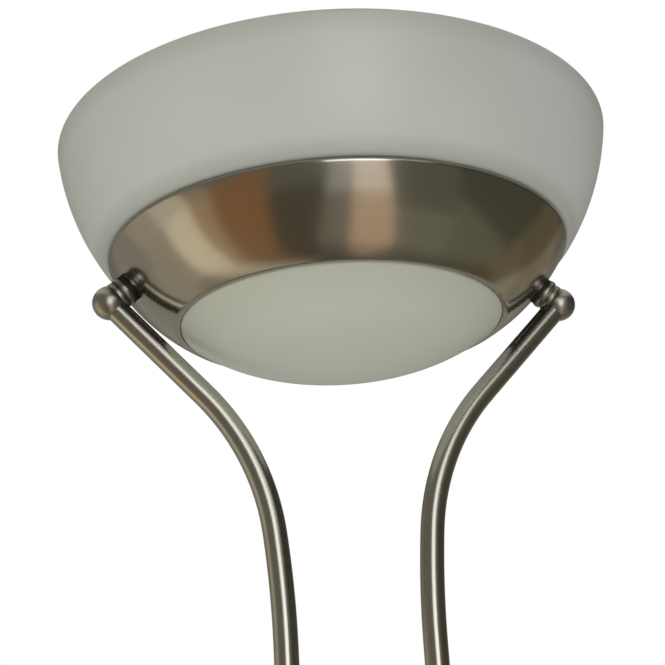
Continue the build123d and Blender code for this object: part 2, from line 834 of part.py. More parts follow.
def pole_couplers(height):
    """Turned coupler whose spigots fill the ends of two tubes; its ring shows between them."""
    plane = Plane(origin=(pole_half_spacing, 0, height))
    half = coupler_ring_height / 2
    ring_part = rod(plane, coupler_ring_radius, -half, half)
    ring_part = chamfer(ring_part.edges().filter_by(GeomType.CIRCLE), 0.15 * coupler_ring_height)
    reach = half + coupler_spigot_length
    coupler = ring_part + rod(plane, tube_bore - slip, -reach, reach)
    return both_sides(coupler - rod(plane, coupler_bore, -reach, reach))


# ---------------------------------------------------------------- control box
def control_block(shrink, tall):
    """Rounded block, its long ends round the two poles."""
    outline = SlotOverall(control_wide - 2 * shrink, control_deep - 2 * shrink)
    return Pos(0, 0, control_height) * extrude(outline, tall / 2, both=True)


def control_body():
    """Both shells as one hollow piece, before they are parted at the poles."""
    outside = control_block(0, control_tall)
    levels = outside.edges().group_by(Axis.Z)
    outside = fillet(levels[0] + levels[-1], control_edge)
    inside = control_block(control_shell, control_tall - 2 * control_end_wall)
    body = outside - inside
    window = Box(2 * (pole_half_spacing - 1.5 * tube_radius), control_deep, control_tall)
    for side in (1, -1):
        slab = Box(control_wide, control_deep, rib_thickness)
        slab = Pos(0, 0, control_height + side * rib_height) * slab
        body += (slab & inside) - Pos(0, 0, control_height) * window
    for x in (boss_x, -boss_x):
        for z in (boss_z, -boss_z):
            post = Pos(x, 0, control_height + z) * Rot(90, 0, 0) * Cylinder(boss_radius, control_deep)
            body += post & control_block(0.5 * control_shell, control_tall - control_end_wall)
    for x in (pole_half_spacing, -pole_half_spacing):
        body -= Pos(x, 0, control_height) * Cylinder(tube_radius + slip, 2 * control_tall)
    return body


def half_space(side):
    """Everything in front of the poles (-1) or behind them (+1), round the control box."""
    space = Box(2 * control_wide, 2 * control_deep, 2 * control_tall)
    return Pos(0, side * control_deep, control_height) * space


def boss_axes():
    """Screw axes, pointing to the front."""
    for x in (boss_x, -boss_x):
        for z in (boss_z, -boss_z):
            yield Plane(origin=(x, 0, control_height + z), x_dir=(1, 0, 0), z_dir=(0, -1, 0))


def control_front(body):
    """Front shell with the holes for the two bushings."""
    shell = body & half_space(-1)
    for axis in boss_axes():
        shell -= rod(axis, m3_radius + thread_clearance, -1, boss_screw_reach + 1)
    for side in (1, -1):
        shell -= Pos(side * knob_x, shell_front, control_height) * Rot(90, 0, 0) * Cylinder(
            bushing_radius + slip, 4 * control_shell
        )
    return single(shell)


def control_back(body):
    """Back shell with counterbored screw holes."""
    shell = body & half_space(1)
    for axis in boss_axes():
        shell -= rod(axis, m3_radius + slip, -control_deep, 1)
        shell -= rod(axis, m3_head_radius + slip, -control_deep, -control_deep / 2 + 2 * m3_head_height)
    return single(shell)


def control_screws():
    """Screws from the back, through one shell into the other."""
    screws = []
    seat = -control_deep / 2 + 2 * m3_head_height
    for axis in boss_axes():
        head = rod(axis, m3_head_radius, seat - m3_head_height, seat)
        slot = Box(1.6 * m3_head_radius, 0.3 * m3_radius, m3_head_height)
        slot = axis * Pos(0, 0, seat - m3_head_height) * slot
        screws.append(head - slot + rod(axis, m3_radius, seat, boss_screw_reach))
    return Compound(screws)


def knob_axis(x):
    """From the front shell's outside at a knob, pointing to the front."""
    return Plane(origin=(x, shell_front, control_height), x_dir=(1, 0, 0), z_dir=(0, -1, 0))


def control_module(x):
    """Rotary dimmer or switch behind the panel, with its threaded bushing."""
    axis = knob_axis(x)
    depth = board_place - shell_front - control_shell
    body = axis * Pos(0, 0, -control_shell - depth / 2) * Box(module_size, module_size, depth)
    body = chamfer(body.edges().filter_by(Axis.Y), 0.08 * module_size)
    module = body + rod(axis, bushing_radius, -control_shell, bushing_length)
    bore = shaft_radius + shaft_clearance
    return module - rod(axis, bore, -control_shell - shaft_inset, bushing_length + 1)


def panel_nut(x):
    """Nut that holds a module to the front shell, hidden in the knob."""
    return hex_nut(knob_axis(x), panel_nut_flats, 0, panel_nut_thickness, bushing_radius + thread_clearance)


def knob_shaft(x):
    """Turning shaft of a module, up into the knob, with a flat for the knob's grip."""
    axis = knob_axis(x)
    hub = knob_gap + knob_length - knob_crown() - panel_clearance
    shaft = rod(axis, shaft_radius, -control_shell - shaft_inset + panel_clearance, hub)
    flat = axis * Pos(0, shaft_radius, hub) * Box(3 * shaft_radius, shaft_radius, 2 * knob_grip)
    return shaft - flat


def knob_crown():
    """Thickness of the knob's face over the end of the shaft."""
    return knob_length - knob_hollow_depth - knob_grip


def control_knob(x):
    """Fluted knob, hollow at the back over the nut, bored for the shaft with its flat."""
    axis = knob_axis(x)
    back = knob_gap
    front = knob_gap + knob_length
    taper = degrees(atan2(knob_taper, knob_length))
    knob = axis * Pos(0, 0, back) * extrude(Circle(knob_radius), knob_length, taper=taper)
    knob = fillet(knob.edges().filter_by(GeomType.CIRCLE).sort_by(Axis.Y)[0], 0.8 * knob_taper)
    for i in range(knob_flutes):
        flute = rod(Plane(origin=(knob_radius, 0, 0)), knob_flute_radius, 2 * knob_taper, knob_length + 1)
        knob -= axis * Pos(0, 0, back) * Rot(0, 0, 360 / knob_flutes * i) * flute
    knob -= rod(axis, knob_hollow_radius, 0, back + knob_hollow_depth)
    bore = rod(axis, shaft_radius + shaft_clearance, 0, front - knob_crown())
    key = axis * Pos(0, shaft_radius, front - knob_crown()) * Box(
        3 * shaft_radius, shaft_radius - 2 * shaft_clearance, 2 * knob_grip
    )
    knob -= bore - key
    pointer = Box(0.08 * knob_radius, 0.4 * knob_radius, knob_taper)
    pointer = axis * Pos(0, 0.72 * knob_radius, front) * pointer
    return single(knob - pointer)


def lead_rise():
    """Height of the leads above the middle of the control box, and of the supply below it."""
    return 0.8 * board_half_height


def lead_depth():
    """y of the leads' ends, behind the board."""
    return board_place + board_thickness + 0.5 * terminal_depth()


def terminal_depth():
    """Depth of the terminals on the back of the board."""
    return 4 * cord_radius


def control_board():
    """Circuit board on the modules' backs, with a terminal for each lead and the dimmer's choke."""
    board = Pos(0, board_place + board_thickness / 2, control_height) * Box(
        2 * board_half_width, board_thickness, 2 * board_half_height
    )
    back = board_place + board_thickness
    for x, z in ((-1, 1), (1, 1), (1, -1)):
        board += Pos(x * terminal_x(), back + terminal_depth() / 2, control_height + z * lead_rise()) * Box(
            0.5 * board_half_width, terminal_depth(), 2.6 * cord_radius
        )
    choke = Pos(-terminal_x(), back, control_height - lead_rise() / 2) * Rot(-90, 0, 0)
    board += choke * Cylinder(0.28 * board_half_width, terminal_depth(), align=STANDING)
    return board


def terminal_x():
    """x of the terminals' middle."""
    return 0.45 * board_half_width


# ---------------------------------------------------------------- base
def base_path():
    """Middle of the base cover's sheet, from the centre out and down."""
    half = base_sheet / 2
    top = base_plateau_height - half
    edge = (base_radius - half, base_edge_height)
    plateau = (base_plateau_radius, top)
    path = Polyline((0, top), plateau, edge, (base_radius - half, base_skirt_gap))
    return eased(path, (edge, base_edge_corner), (plateau, base_plateau_corner))


def stud_holes(radius, low, high):
    plane = Plane(origin=(pole_half_spacing, 0, 0))
    return both_sides(rod(plane, radius, low, high))


def base_cover():
    """Spun cover over the weight, clamped between the pole sockets and the weight."""
    cover = spun(trace(base_path(), base_sheet))
    cover -= stud_holes(nipple_radius + slip, base_weight_top - 1, base_plateau_height + 1)
    inlet = Rot(90, 0, 0) * Cylinder(inlet_neck_radius + thread_clearance, 20)
    inlet = Pos(0, base_radius, cord_height) * inlet
    return cover - inlet


def base_region(gap):
    """Section between the axis and the underside of the cover, kept a gap inside it."""
    half = base_sheet / 2 + gap
    low = pad_thickness
    path = base_path()
    outer = path @ 1
    closing = Polyline((outer.X, outer.Y), (0, outer.Y), (0, (path @ 0).Y))
    region = make_face(path.edges() + closing.edges()) - trace(path, 2 * half)
    keep = Pos(base_radius / 2, low + base_plateau_height / 2) * Rectangle(base_radius, base_plateau_height)
    return region & keep


def base_weight():
    """Cast disc under the cover, with recesses for the nuts and a channel for the supply."""
    weight = spun(base_region(0)) & Cylinder(
        base_radius - base_sheet - weight_clearance, 4 * base_plateau_height
    )
    slope = spun(base_region(weight_clearance))
    slope += Cylinder(base_plateau_radius - base_plateau_corner / 2, 200)
    weight = single(weight & slope)
    weight -= stud_holes(nipple_radius + 5 * slip, 0, base_plateau_height)
    weight -= stud_holes(recess_radius, 0, recess_height)
    channel = trace(Polyline(*channel_points(), (0, 1.2 * base_radius)), channel_width)
    weight -= extrude(channel, channel_height)
    return single(weight)


def channel_points():
    """Plan of the supply's way under the weight, from the +X stud to the inlet at the back."""
    return (pole_half_spacing, 0), (0, 0.82 * base_radius)


def base_pad():
    """Felt disc under the weight: the face that the lamp stands on."""
    return Cylinder(pad_radius, pad_thickness, align=STANDING)


def pole_sockets():
    """Turned cup that holds the foot of a pole."""
    plane = Plane(origin=(pole_half_spacing, 0, base_plateau_height))
    foot_height = 0.25 * pole_socket_height
    profile = Polyline(
        (0, 0),
        (pole_socket_radius, 0),
        (pole_socket_radius, foot_height),
        (pole_socket_neck, 2 * foot_height),
        (pole_socket_neck, pole_socket_height),
        (0, pole_socket_height),
        close=True,
    )
    section = make_face(profile)
    rim = section.vertices().sort_by_distance((pole_socket_radius, foot_height))[0]
    section = fillet(rim, 0.3 * foot_height)
    neck = section.vertices().sort_by_distance((pole_socket_neck, 2 * foot_height))[0]
    section = fillet(neck, foot_height)
    cup = plane * revolve(Plane.XZ * section, Axis.Z)
    cup -= rod(plane, tube_radius + slip, pole_socket_floor, pole_socket_height + 1)
    cup -= rod(plane, nipple_radius + thread_clearance, -1, pole_socket_floor + 1)
    return both_sides(cup)


def stud_bottom():
    return recess_height - base_washer_thickness - base_nut_thickness - thread_standout


def base_studs():
    """Hollow threaded stud from the pole socket down to the nut in the weight."""
    plane = Plane(origin=(pole_half_spacing, 0, 0))
    top = base_plateau_height + pole_socket_floor
    stud = rod(plane, nipple_radius, stud_bottom(), top)
    return both_sides(stud - rod(plane, cord_radius + 3 * slip, 0, top + 1))


def base_washers():
    plane = Plane(origin=(pole_half_spacing, 0, recess_height))
    washer = rod(plane, base_washer_radius, -base_washer_thickness, 0)
    return both_sides(washer - rod(plane, nipple_radius + slip, -base_washer_thickness, 0))


def base_nuts():
    plane = Plane(origin=(pole_half_spacing, 0, recess_height - base_washer_thickness))
    hole = nipple_radius + thread_clearance
    return both_sides(hex_nut(plane, locknut_flats, -base_nut_thickness, 0, hole))


def inlet_plane():
    """On the base's skirt at the back, pointing out of the lamp."""
    return Plane(origin=(0, base_radius, cord_height), x_dir=(1, 0, 0), z_dir=(0, 1, 0))


def inlet_inner_end():
    """Distance from the skirt's outside to the grommet's inner face."""
    return -base_sheet - inlet_flange_thickness


def cord_grommet(cover):
    """Rubber grommet in the skirt; both flanges follow the skirt."""
    outer = rod(inlet_plane(), inlet_flange_radius, -base_sheet / 2, inlet_flange_thickness)
    outer = fillet(outer.edges().group_by(Axis.Y)[-1], 0.5 * inlet_flange_thickness)
    inner = rod(inlet_plane(), inlet_flange_radius, inlet_inner_end(), -base_sheet / 2)
    grommet = outer + inner - cover
    low, high = inlet_inner_end() - 1, 2 * inlet_flange_thickness
    return single(grommet - rod(inlet_plane(), inlet_bore, low, high))


# ---------------------------------------------------------------- leads held inside the lamp
def box_route(side, height, radius):
    """Lead's way from a board terminal to the middle of a pole, in the control box."""
    return [
        (side * (terminal_x() + 0.25 * board_half_width), lead_depth(), height),
        (side * board_half_width, lead_depth(), height),
        (side * (pole_half_spacing - 1.55 * tube_radius), 0, height),
        (side * pole_half_spacing, 0, height),
    ]


def box_radii():
    """Bend radii at the last three points of that way."""
    return [2.4 * cord_radius, 2.4 * cord_radius, 2.9 * cord_radius]


def supply_lead():
    """Mains lead from the cord inlet, through the base and the +X pole, to the board."""
    height = control_height - lead_rise()
    start = (0, base_radius + inlet_inner_end(), cord_height)
    near, far = channel_points()
    bottom = (*near, cord_height)
    route = [start, (*far, cord_height), bottom] + box_route(1, height, cord_radius)[::-1]
    path = FilletPolyline(*route, radius=[5 * cord_radius, 2.6 * cord_radius] + box_radii()[::-1])
    return tube_along(path, cord_radius)


def pan_route(side, *after):
    """Lead's way up a pole, through the ball and the nipple, into the pan."""
    inside = ball_centre + inward_plane.z_dir * (nipple_end() + 6)
    points = (*arm_corners(), ball_centre, inside)
    return [(side * point.X, side * point.Y, point.Z) for point in points] + list(after)


def uplight_lead():
    """From the dimmer up the -X pole to the terminal block under the tray."""
    level = tray_floor_under - terminal_height / 2
    end = terminal_offset - terminal_length / 2
    after = [(-0.8 * tray_floor_radius, 0, level), (end, 0, level)]
    route = box_route(-1, control_height + lead_rise(), lead_radius) + pan_route(-1, *after)
    radii = box_radii() + arm_radii() + [1.9 * lead_radius, 4 * lead_radius, 4 * lead_radius]
    return tube_along(FilletPolyline(*route, radius=radii), lead_radius)


def wire_spot():
    """Where the +X socket's wire comes up through the tray."""
    aside = (bracket_width / 2 + guard_half_width) / 2
    return socket_back() - wire_entry, aside


def uplight_wires():
    """Single wires from the terminal block, up through the tray, to the sockets' sides."""
    level = tray_floor_under - terminal_height / 2
    entry = halogen_z - wire_drop
    far, aside = wire_spot()
    wires = []
    for side in (1, -1):
        near = terminal_offset + side * terminal_length / 4
        points = [(near, terminal_width / 2), (near, aside), (side * far, aside)]
        route = [(*point, level) for point in points]
        route += [(side * far, aside, entry), (side * far, socket_width / 2, entry)]
        wires.append(tube_along(FilletPolyline(*route, radius=3 * wire_radius), wire_radius))
    return Compound(wires)


def wire_bushes():
    """Soft bushes in the tray round those wires."""
    far, aside = wire_spot()
    plane = Plane(origin=(far, aside, 0))
    low = tray_floor_under - bush_flange_thickness
    high = tray_floor_top + bush_flange_thickness
    bush = rod(plane, bush_flange_radius, low, tray_floor_under)
    bush += rod(plane, bush_flange_radius, tray_floor_top, high)
    bush += rod(plane, bush_neck_radius, low, high)
    bush -= rod(plane, wire_radius + slip, low - 1, high + 1)
    return Compound([bush, mirror(bush, Plane.YZ)])


def reading_lead():
    """From the reading switch up the +X pole to the reading lamp's socket."""
    after = [(0.8 * tray_floor_radius, 0, reading_z), (reading_socket_face - bracket_sheet, 0, reading_z)]
    route = box_route(1, control_height + lead_rise(), lead_radius) + pan_route(1, *after)
    radii = box_radii() + arm_radii() + [1.9 * lead_radius, 4 * lead_radius, 4 * lead_radius]
    return tube_along(FilletPolyline(*route, radius=radii), lead_radius)


# ---------------------------------------------------------------- the lamp
def build():
    left = Rot(0, 0, 180)
    cover = base_cover()
    shells = control_body()
    arm = arm_tube()
    middle = middle_pole()
    lower = lower_pole()
    return {
        "glass_bowl": glass_bowl(),
        "head_pan": head_pan(),
        "reading_lens": reading_lens(),
        "lens_gasket": lens_gasket(),
        "lens_clips": lens_clips(),
        "reflector_tray": reflector_tray(),
        "tray_screws": tray_screws(),
        "tray_nuts": tray_nuts(),
        "uplight_bracket": uplight_bracket(),
        "uplight_sockets": uplight_sockets(),
        "uplight_contacts": uplight_contacts(),
        "socket_screws": socket_screws(),
        "halogen_tube": halogen_tube(),
        "halogen_caps": halogen_caps(),
        "wire_guard": wire_guard(),
        "reading_bracket": reading_bracket(),
        "bracket_rivets": bracket_rivets(),
        "reading_socket": reading_socket(),
        "reading_lamp": reading_lamp(),
        "terminal_block": terminal_block(),
        "arm_balls": arm_balls(),
        "arm_collars": arm_collars(),
        "pan_washers": pan_washers(),
        "inner_saddles": inner_saddles(),
        "arm_locknuts": arm_locknuts(),
        "arm_nipples": arm_nipples(),
        "right_arm": arm,
        "left_arm": left * arm,
        "right_middle_pole": middle,
        "left_middle_pole": left * middle,
        "right_lower_pole": lower,
        "left_lower_pole": left * lower,
        "upper_couplers": pole_couplers(upper_joint_height),
        "lower_couplers": pole_couplers(lower_joint_height),
        "control_front": control_front(shells),
        "control_back": control_back(shells),
        "control_screws": control_screws(),
        "control_board": control_board(),
        "dimmer_module": control_module(-knob_x),
        "dimmer_nut": panel_nut(-knob_x),
        "dimmer_shaft": knob_shaft(-knob_x),
        "dimmer_knob": control_knob(-knob_x),
        "switch_module": control_module(knob_x),
        "switch_nut": panel_nut(knob_x),
        "switch_shaft": knob_shaft(knob_x),
        "switch_knob": control_knob(knob_x),
        "base_cover": cover,
        "base_weight": base_weight(),
        "base_pad": base_pad(),
        "pole_sockets": pole_sockets(),
        "base_studs": base_studs(),
        "base_washers": base_washers(),
        "base_nuts": base_nuts(),
        "cord_grommet": cord_grommet(cover),
        "supply_lead": supply_lead(),
        "uplight_lead": uplight_lead(),
        "uplight_wires": uplight_wires(),
        "wire_bushes": wire_bushes(),
        "reading_lead": reading_lead(),
    }


os.makedirs("parts", exist_ok=True)
for name, shape in build().items():
    export_step(shape, f"parts/{name}.step")
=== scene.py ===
import json
from math import atan2, cos, pi, radians, sin, tan

import bmesh
import bpy
from mathutils import Matrix, Vector


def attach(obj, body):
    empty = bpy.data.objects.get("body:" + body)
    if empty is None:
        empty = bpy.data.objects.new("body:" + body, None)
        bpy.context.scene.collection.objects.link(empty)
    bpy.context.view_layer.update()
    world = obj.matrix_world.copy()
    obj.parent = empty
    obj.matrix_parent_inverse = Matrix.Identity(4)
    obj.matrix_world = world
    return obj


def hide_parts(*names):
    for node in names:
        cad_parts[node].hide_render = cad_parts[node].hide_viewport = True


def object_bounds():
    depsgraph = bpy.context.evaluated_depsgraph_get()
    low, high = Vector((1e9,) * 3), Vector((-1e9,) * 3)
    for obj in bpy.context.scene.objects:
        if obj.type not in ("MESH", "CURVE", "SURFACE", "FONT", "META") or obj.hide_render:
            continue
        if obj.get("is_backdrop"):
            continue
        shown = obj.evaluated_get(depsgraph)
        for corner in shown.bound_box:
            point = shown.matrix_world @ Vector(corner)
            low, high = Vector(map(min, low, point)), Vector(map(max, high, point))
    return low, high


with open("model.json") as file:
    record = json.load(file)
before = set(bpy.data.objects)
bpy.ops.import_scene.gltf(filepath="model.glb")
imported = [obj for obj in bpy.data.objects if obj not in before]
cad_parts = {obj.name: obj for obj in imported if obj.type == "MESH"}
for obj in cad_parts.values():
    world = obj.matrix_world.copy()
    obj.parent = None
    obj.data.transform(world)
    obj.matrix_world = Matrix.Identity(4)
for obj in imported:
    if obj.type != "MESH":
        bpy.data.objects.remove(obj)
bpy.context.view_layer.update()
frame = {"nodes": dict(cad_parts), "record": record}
nodes = frame["nodes"]

# ---------------------------------------------------------------- measures, in metres
RIM_HEIGHT = 1.800
CAMERA_PLACE = Vector((-0.1537, -0.8382, RIM_HEIGHT - 0.4401))
CAMERA_YAW, CAMERA_PITCH, CAMERA_ROLL = radians(9.94), radians(19.87), radians(3.397)
CAMERA_LENS, CAMERA_SENSOR = 70.755, 36.0
KNOB_X, CONTROL_HEIGHT = 0.020, 1.095
POINTER_MIDDLE, POINTER_HALF_LENGTH, POINTER_HALF_WIDTH = 0.0108, 0.0031, 0.00066
BLACK_PAINT = (0.012, 0.012, 0.012, 1.0)


# ---------------------------------------------------------------- materials
class Finish:
    """A material built from nodes round one principled shader."""

    def __init__(self, name, color, roughness, metallic=0.0, **settings):
        self.material = bpy.data.materials.new(name)
        self.material.use_nodes = True
        self.tree = self.material.node_tree
        self.shader = self.tree.nodes["Principled BSDF"]
        self.color = color
        self.roughness = roughness
        self.set(self.shader, {"Base Color": (*color, 1.0), "Roughness": roughness, "Metallic": metallic})
        self.set(self.shader, settings)
        self.place = self.add("ShaderNodeTexCoord").outputs["Object"]

    def add(self, kind, inputs=None, **settings):
        node = self.tree.nodes.new(kind)
        for key, value in settings.items():
            setattr(node, key, value)
        self.set(node, inputs or {})
        return node

    def set(self, node, inputs):
        for key, value in inputs.items():
            if isinstance(value, bpy.types.NodeSocket):
                self.tree.links.new(value, node.inputs[key])
            else:
                node.inputs[key].default_value = value

    def math(self, operation, *values):
        """The result of one math node."""
        inputs = dict(enumerate(values))
        return self.add("ShaderNodeMath", inputs, operation=operation).outputs[0]

    def stretched(self, x, y, z):
        """The place in the object, scaled by a number of lengths to the metre along each axis."""
        node = self.add("ShaderNodeMapping", {"Vector": self.place, "Scale": (x, y, z)})
        return node.outputs["Vector"]

    def noise(self, place, scale=1.0, detail=3.0, **inputs):
        """Soft noise round a half, also over a fourth measure W."""
        dims = "4D" if "W" in inputs else "3D"
        socket = {"Vector": place, "Scale": scale, "Detail": detail, **inputs}
        return self.add("ShaderNodeTexNoise", socket, noise_dimensions=dims).outputs["Fac"]

    def remap(self, value, low, high, start=0.35, end=0.65):
        """Turns start to end, by default the span of the noise, into low to high."""
        socket = {"Value": value, "From Min": start, "From Max": end, "To Min": low, "To Max": high}
        return self.add("ShaderNodeMapRange", socket).outputs["Result"]

    def tint(self, value, other, share=1.0):
        """Base colour that wanders to another one."""
        factor = self.remap(value, 0.0, share)
        mix = self.add("ShaderNodeMix", {"Factor": factor}, data_type="RGBA")
        mix.inputs[6].default_value = (*self.color, 1.0)
        mix.inputs[7].default_value = (*other, 1.0)
        self.set(self.shader, {"Base Color": mix.outputs[2]})

    def rough(self, value, spread):
        """Roughness that wanders to both sides."""
        low, high = self.roughness - spread, self.roughness + spread
        self.set(self.shader, {"Roughness": self.remap(value, low, high)})

    def bump(self, value, distance, strength):
        """Relief of a depth in metres."""
        node = self.add("ShaderNodeBump", {"Height": value, "Distance": distance, "Strength": strength})
        self.set(self.shader, {"Normal": node.outputs["Normal"]})


def spun_nickel(name, color, roughness):
    """Satin nickel brushed round the lamp's axis."""
    fine, coarse = 1900.0, 160.0
    finish = Finish(name, color, roughness, 1.0)
    x, y, _ = finish.add("ShaderNodeSeparateXYZ", {"Vector": finish.place}).outputs
    square = finish.math("ADD", finish.math("MULTIPLY", x, x), finish.math("MULTIPLY", y, y))
    radius = finish.math("SQRT", square)
    lines = finish.noise(
        finish.stretched(22.0, 22.0, fine), 1.0, 3.0, W=finish.math("MULTIPLY", radius, fine))
    broad = finish.noise(
        finish.stretched(9.0, 9.0, coarse), 1.0, 2.0, W=finish.math("MULTIPLY", radius, coarse))
    finish.tint(broad, tuple(0.94 * c for c in color), 0.6)
    finish.rough(lines, 0.015)
    finish.bump(lines, 0.0000006, 0.08)
    turn = finish.add("ShaderNodeTangent", direction_type="RADIAL", axis="Z").outputs[0]
    finish.set(finish.shader, {"Anisotropic": 0.45, "Anisotropic Rotation": 0.25, "Tangent": turn})
    return finish.material


def tube_nickel(name, color, roughness):
    """Satin nickel ground round the tube."""
    finish = Finish(name, color, roughness, 1.0)
    lines = finish.noise(finish.stretched(160.0, 160.0, 900.0), 1.0, 2.0)
    broad = finish.noise(finish.stretched(12.0, 12.0, 9.0), 1.0, 2.0)
    finish.tint(broad, tuple(0.94 * c for c in color), 0.6)
    finish.rough(lines, 0.005)
    return finish.material


def cast_nickel(name, color, roughness):
    """Satin nickel on small turned pieces."""
    finish = Finish(name, color, roughness, 1.0)
    grain = finish.noise(finish.place, 2400.0, 3.0)
    broad = finish.noise(finish.place, 90.0, 2.0)
    finish.tint(broad, tuple(0.92 * c for c in color), 0.7)
    finish.rough(grain, 0.015)
    finish.bump(grain, 0.0000008, 0.1)
    return finish.material


def knob_nickel(name, color, roughness):
    """Satin nickel with black paint in the pointer's groove, above each knob's axis."""
    finish = Finish(name, color, roughness, 1.0)
    x, _, z = finish.add("ShaderNodeSeparateXYZ", {"Vector": finish.place}).outputs
    across = finish.math("COMPARE", finish.math("ABSOLUTE", x), KNOB_X, POINTER_HALF_WIDTH)
    along = finish.math("COMPARE", z, CONTROL_HEIGHT + POINTER_MIDDLE, POINTER_HALF_LENGTH)
    mix = finish.add("ShaderNodeMix", {"Factor": finish.math("MULTIPLY", across, along)}, data_type="RGBA")
    mix.inputs[6].default_value = (*color, 1.0)
    mix.inputs[7].default_value = BLACK_PAINT
    finish.set(finish.shader, {"Base Color": mix.outputs[2]})
    finish.rough(finish.noise(finish.place, 2400.0, 3.0), 0.015)
    return finish.material


def opal(name, color, other, roughness, *shaded_edges, **settings):
    """Etched opal glass with painted shade that greys it towards its edges: each a height, where that shade
    ends, and how grey.
    """
    glaze = {"Coat Weight": 0.12, "Coat Roughness": 0.30, "IOR": 1.50}
    finish = Finish(name, color, roughness, **glaze, **settings)
    cloud = finish.noise(finish.place, 7.0, 2.0)
    etched = finish.noise(finish.place, 2600.0, 2.0)
    finish.tint(cloud, other, 0.7)
    height = finish.add("ShaderNodeSeparateXYZ", {"Vector": finish.place}).outputs["Z"]
    # Painted shade: the base colour greys towards each of these heights.
    for edge, end, grey in shaded_edges:
        near = finish.remap(height, 1.0, 0.0, edge, end)
        link = finish.shader.inputs["Base Color"].links[0].from_socket
        mix = finish.add("ShaderNodeMix", {"Factor": near}, data_type="RGBA")
        mix.inputs[7].default_value = (*(grey * c for c in other), 1.0)
        finish.set(mix, {6: link})
        finish.set(finish.shader, {"Base Color": mix.outputs[2]})
    finish.rough(finish.noise(finish.place, 26.0, 3.0), 0.03)
    finish.bump(etched, 0.00001, 0.2)
    return finish.material


def plain(name, color, roughness, grain=900.0, depth=0.00004, shade=0.85, metallic=0.0, **settings):
    """Fine grain in colour, gloss and height."""
    finish = Finish(name, color, roughness, metallic, **settings)
    fine = finish.noise(finish.place, grain, 4.0)
    finish.tint(finish.noise(finish.place, grain / 14.0, 3.0), tuple(shade * c for c in color))
    finish.rough(fine, 0.06)
    finish.bump(fine, depth, 0.5)
    return finish.material


def clear(name, color, roughness):
    """Clear quartz."""
    finish = Finish(name, color, roughness)
    finish.set(finish.shader, {"Transmission Weight": 0.92, "IOR": 1.46})
    finish.rough(finish.noise(finish.place, 300.0, 2.0), 0.015)
    return finish.material


MATERIALS = {
    # Painted shade: the bowl greys at its foot, where it sits in the pan, and at its rim.
    "opal_glass": opal(
        "opal_glass", (0.445, 0.452, 0.425), (0.42, 0.43, 0.39), 0.36,
        (1.723, 1.731, 0.84), (RIM_HEIGHT, 1.784, 0.88),
        **{"Subsurface Weight": 0.35, "Subsurface Scale": 0.012, "Subsurface Radius": (1.0, 1.0, 0.9)}),
    "satin_nickel": cast_nickel("satin_nickel", (0.52, 0.51, 0.465), 0.33),
    # Darker nickel for the collars: partly their own tone, partly painted shade between the ball and the pan.
    "collar_nickel_shaded": cast_nickel("collar_nickel_shaded", (0.37, 0.365, 0.325), 0.36),
    "knob_nickel": knob_nickel("knob_nickel", (0.40, 0.392, 0.355), 0.35),
    "spun_nickel": spun_nickel("spun_nickel", (0.60, 0.57, 0.50), 0.18),
    "tube_nickel": tube_nickel("tube_nickel", (0.57, 0.56, 0.51), 0.24),
    # Painted shade: the lens greys towards its rim against the pan.
    "frosted_glass": opal(
        "frosted_glass", (0.460, 0.468, 0.402), (0.447, 0.455, 0.382), 0.42, (1.678, 1.655, 0.84)),
    "silicone": plain("silicone", (0.60, 0.60, 0.56), 0.7),
    "spring_steel": plain("spring_steel", (0.50, 0.50, 0.49), 0.35, metallic=1.0),
    "white_enamel": plain("white_enamel", (0.80, 0.80, 0.77), 0.32, 500.0, 0.00003, 0.96),
    "zinc_steel": plain("zinc_steel", (0.58, 0.58, 0.56), 0.36, 700.0, 0.00002, 0.85, 1.0),
    "ceramic": plain("ceramic", (0.78, 0.76, 0.70), 0.55, 900.0, 0.00006, 0.93),
    "brass": plain("brass", (0.72, 0.56, 0.27), 0.32, 900.0, 0.00002, 0.85, 1.0),
    "lamp_glass": clear("lamp_glass", (0.95, 0.96, 0.97), 0.05),
    "black_rubber": plain("black_rubber", (0.010, 0.009, 0.007), 0.6, 1200.0, 0.00005, 0.7),
    "black_plastic": plain("black_plastic", (0.022, 0.022, 0.023), 0.42, 1500.0, 0.00006, 0.8),
    "circuit_board": plain("circuit_board", (0.30, 0.19, 0.07), 0.5, 700.0),
    "cast_iron": plain("cast_iron", (0.035, 0.035, 0.036), 0.75, 420.0, 0.00030, 0.6),
    "felt": plain("felt", (0.045, 0.045, 0.045), 0.95, 2200.0, 0.00025, 0.6),
    "lead_sheath": plain("lead_sheath", (0.66, 0.66, 0.63), 0.45, 600.0),
}
# Satin nickel is worked in another way on some pieces. The collars' nickel is also darker, partly its own
# tone and partly painted shade between ball and pan.
WORKED = {
    "head_pan": "spun_nickel", "base_cover": "spun_nickel",
    "dimmer_knob": "knob_nickel", "switch_knob": "knob_nickel",
    "arm_collars": "collar_nickel_shaded",
    "right_arm": "tube_nickel", "left_arm": "tube_nickel",
    "right_middle_pole": "tube_nickel", "left_middle_pole": "tube_nickel",
    "right_lower_pole": "tube_nickel", "left_lower_pole": "tube_nickel",
}

for part in frame["record"]["subparts"]:
    node = nodes[part["node"]]
    node.data.materials.clear()
    node.data.materials.append(MATERIALS[WORKED.get(part["node"], part["material_slot"])])


# ---------------------------------------------------------------- pieces that are finer than the frame's
# Their sizes are in millimetres. Those of a sheet or a wall are for its middle, apart from its thickness.
MM = 0.001
SEAT = 1721.0          # where the bowl rests on the pan

PAN_SHEET = 1.0
PAN_BOTTOM = 1672.7
PAN_LIP_REACH = 111.9
PAN_LIP_ROUNDING = 3.0
PAN_FOOT_RADIUS, PAN_TOP_RADIUS = 115.4, 160.8
PAN_WALL_BOW = 4.2
PAN_BEAD_ROUNDING = 1.8
PAN_FLANGE_REACH = 136.0

